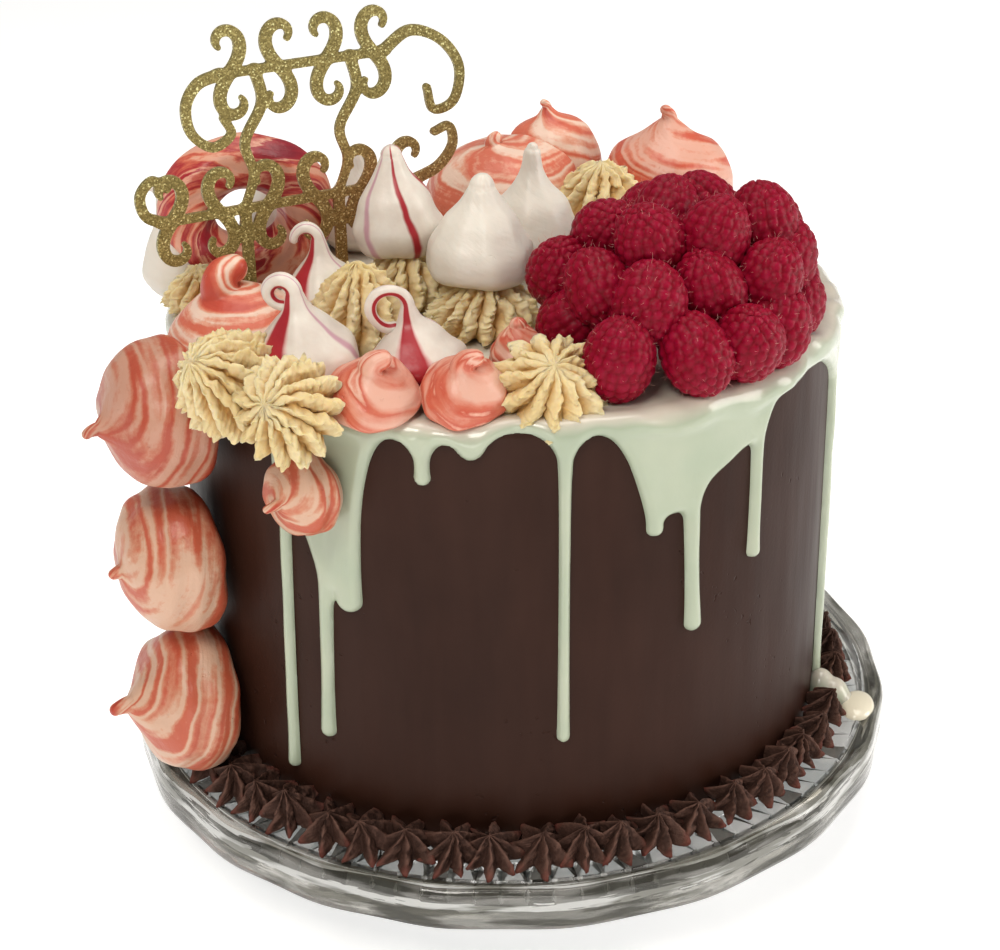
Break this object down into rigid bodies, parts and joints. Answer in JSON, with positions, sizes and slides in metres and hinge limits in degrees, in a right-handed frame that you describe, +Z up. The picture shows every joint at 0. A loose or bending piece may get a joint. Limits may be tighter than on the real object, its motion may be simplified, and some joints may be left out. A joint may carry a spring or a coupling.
{
  "type": "drip cake on cake stand",
  "caption": "Round chocolate drip cake heaped with meringues, piped rosettes, raspberries and a scrollwork topper, on a low pressed-glass stand.",
  "frame": {"origin": "middle of the stand's foot, on the surface it rests on", "axes": "+Z up along the cake's axis, -Y towards the front with the sunflower rosette, +X to the right"},
  "size_m": [0.2486, 0.2486, 0.2609],
  "materials": {
    "glass": "clear pressed glass, polished",
    "chocolate": "smooth spread chocolate frosting, satin (food: stands in for chocolate)",
    "chocolate_border": "piped chocolate frosting, matte (food: stands in for chocolate)",
    "icing": "poured white chocolate, glossy (food: stands in for icing)",
    "glitter": "gold glitter card",
    "buttercream": "piped buttercream, soft (food: stands in for buttercream)",
    "raspberry": "ripe raspberry, juicy drupelets with a light bloom (food: stands in for fruit)",
    "coral_meringue": "baked meringue striped in coral, matte (food: stands in for meringue)",
    "white_meringue": "baked white meringue, matte (food: stands in for meringue)",
    "red_striped_meringue": "baked white meringue with red streaks, matte (food: stands in for meringue)"
  },
  "bodies": {
    "root": {"glass_cake_stand": "glass", "chocolate_cake": "chocolate", "drip_icing": "icing", "glitter_topper": "glitter", "raspberry_01": "raspberry", "raspberry_02": "raspberry", "raspberry_03": "raspberry", "raspberry_04": "raspberry", "raspberry_05": "raspberry", "raspberry_06": "raspberry", "raspberry_07": "raspberry", "raspberry_08": "raspberry", "raspberry_09": "raspberry", "raspberry_10": "raspberry", "raspberry_11": "raspberry", "raspberry_12": "raspberry", "raspberry_13": "raspberry", "raspberry_14": "raspberry", "raspberry_15": "raspberry", "raspberry_16": "raspberry", "raspberry_17": "raspberry", "raspberry_18": "raspberry", "raspberry_19": "raspberry", "raspberry_20": "raspberry", "raspberry_21": "raspberry", "raspberry_22": "raspberry", "raspberry_23": "raspberry", "raspberry_24": "raspberry", "raspberry_25": "raspberry", "raspberry_26": "raspberry", "meringue_side_upper": "coral_meringue", "meringue_side_middle": "coral_meringue", "meringue_side_lower": "coral_meringue", "meringue_side_small": "coral_meringue", "meringue_swirl_left": "coral_meringue", "meringue_swirl_back": "coral_meringue", "meringue_swirl_behind": "coral_meringue", "meringue_swirl_right": "coral_meringue", "meringue_bead_left": "coral_meringue", "meringue_bead_right": "coral_meringue", "meringue_bead_small": "coral_meringue", "meringue_ring": "coral_meringue", "kiss_white_tall": "white_meringue", "kiss_white_back": "white_meringue", "kiss_white_edge": "white_meringue", "kiss_white_in_ring": "white_meringue", "kiss_white_behind": "white_meringue", "kiss_red_front": "red_striped_meringue", "kiss_red_middle": "red_striped_meringue", "kiss_red_loop": "red_striped_meringue", "kiss_red_tall": "red_striped_meringue", "rosette_left_large": "buttercream", "rosette_front_left": "buttercream", "rosette_middle_left": "buttercream", "rosette_under_tall": "buttercream", "rosette_sunflower": "buttercream", "rosette_back": "buttercream", "rosette_under_red": "buttercream", "rosette_far_left": "buttercream", "chocolate_border": "chocolate_border"}
  },
  "joints": []
}
